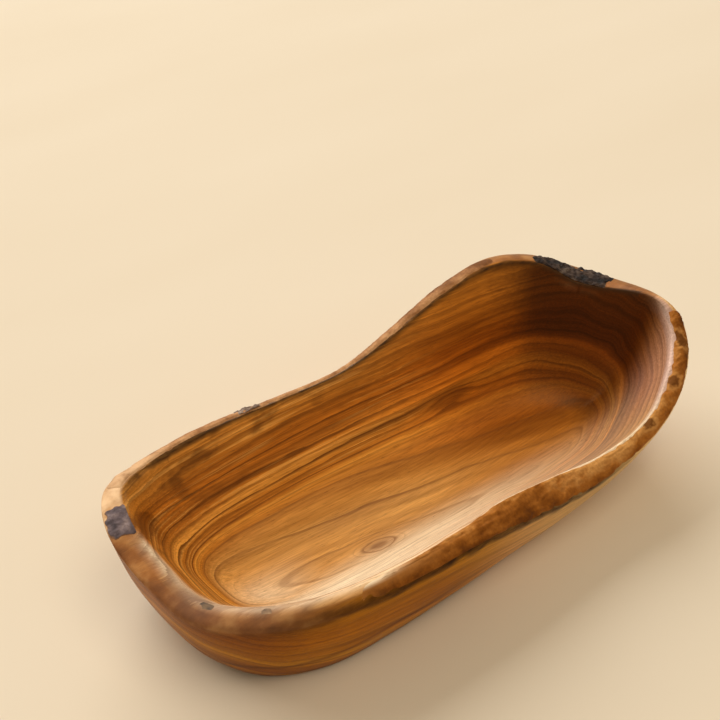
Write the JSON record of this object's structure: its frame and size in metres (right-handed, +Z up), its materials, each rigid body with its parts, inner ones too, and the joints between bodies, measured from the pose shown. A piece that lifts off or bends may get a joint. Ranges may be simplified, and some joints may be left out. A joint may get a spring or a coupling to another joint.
{
  "type": "live-edge wooden dish",
  "caption": "Long boat-shaped dish carved from a halved olive branch, with a smooth hollow and the branch's rough natural edge left as its rim.",
  "frame": {"origin": "on the table plane, under the middle of the flat foot", "axes": "+X along the dish towards its tall end, +Y across it towards its taller long side, +Z up"},
  "size_m": [0.2182, 0.0907, 0.0634],
  "materials": {
    "wood": "oiled satin",
    "bast": "rough fibre, lightly brushed and oiled",
    "bark": "rough, dry"
  },
  "bodies": {
    "root": {"dish_body": "wood", "near_bast": "bast", "far_bast": "bast", "far_end_bark": "bark", "far_side_bark": "bark", "tip_bark": "bark", "near_end_bark": "bark", "near_corner_bark": "bark"}
  },
  "joints": []
}
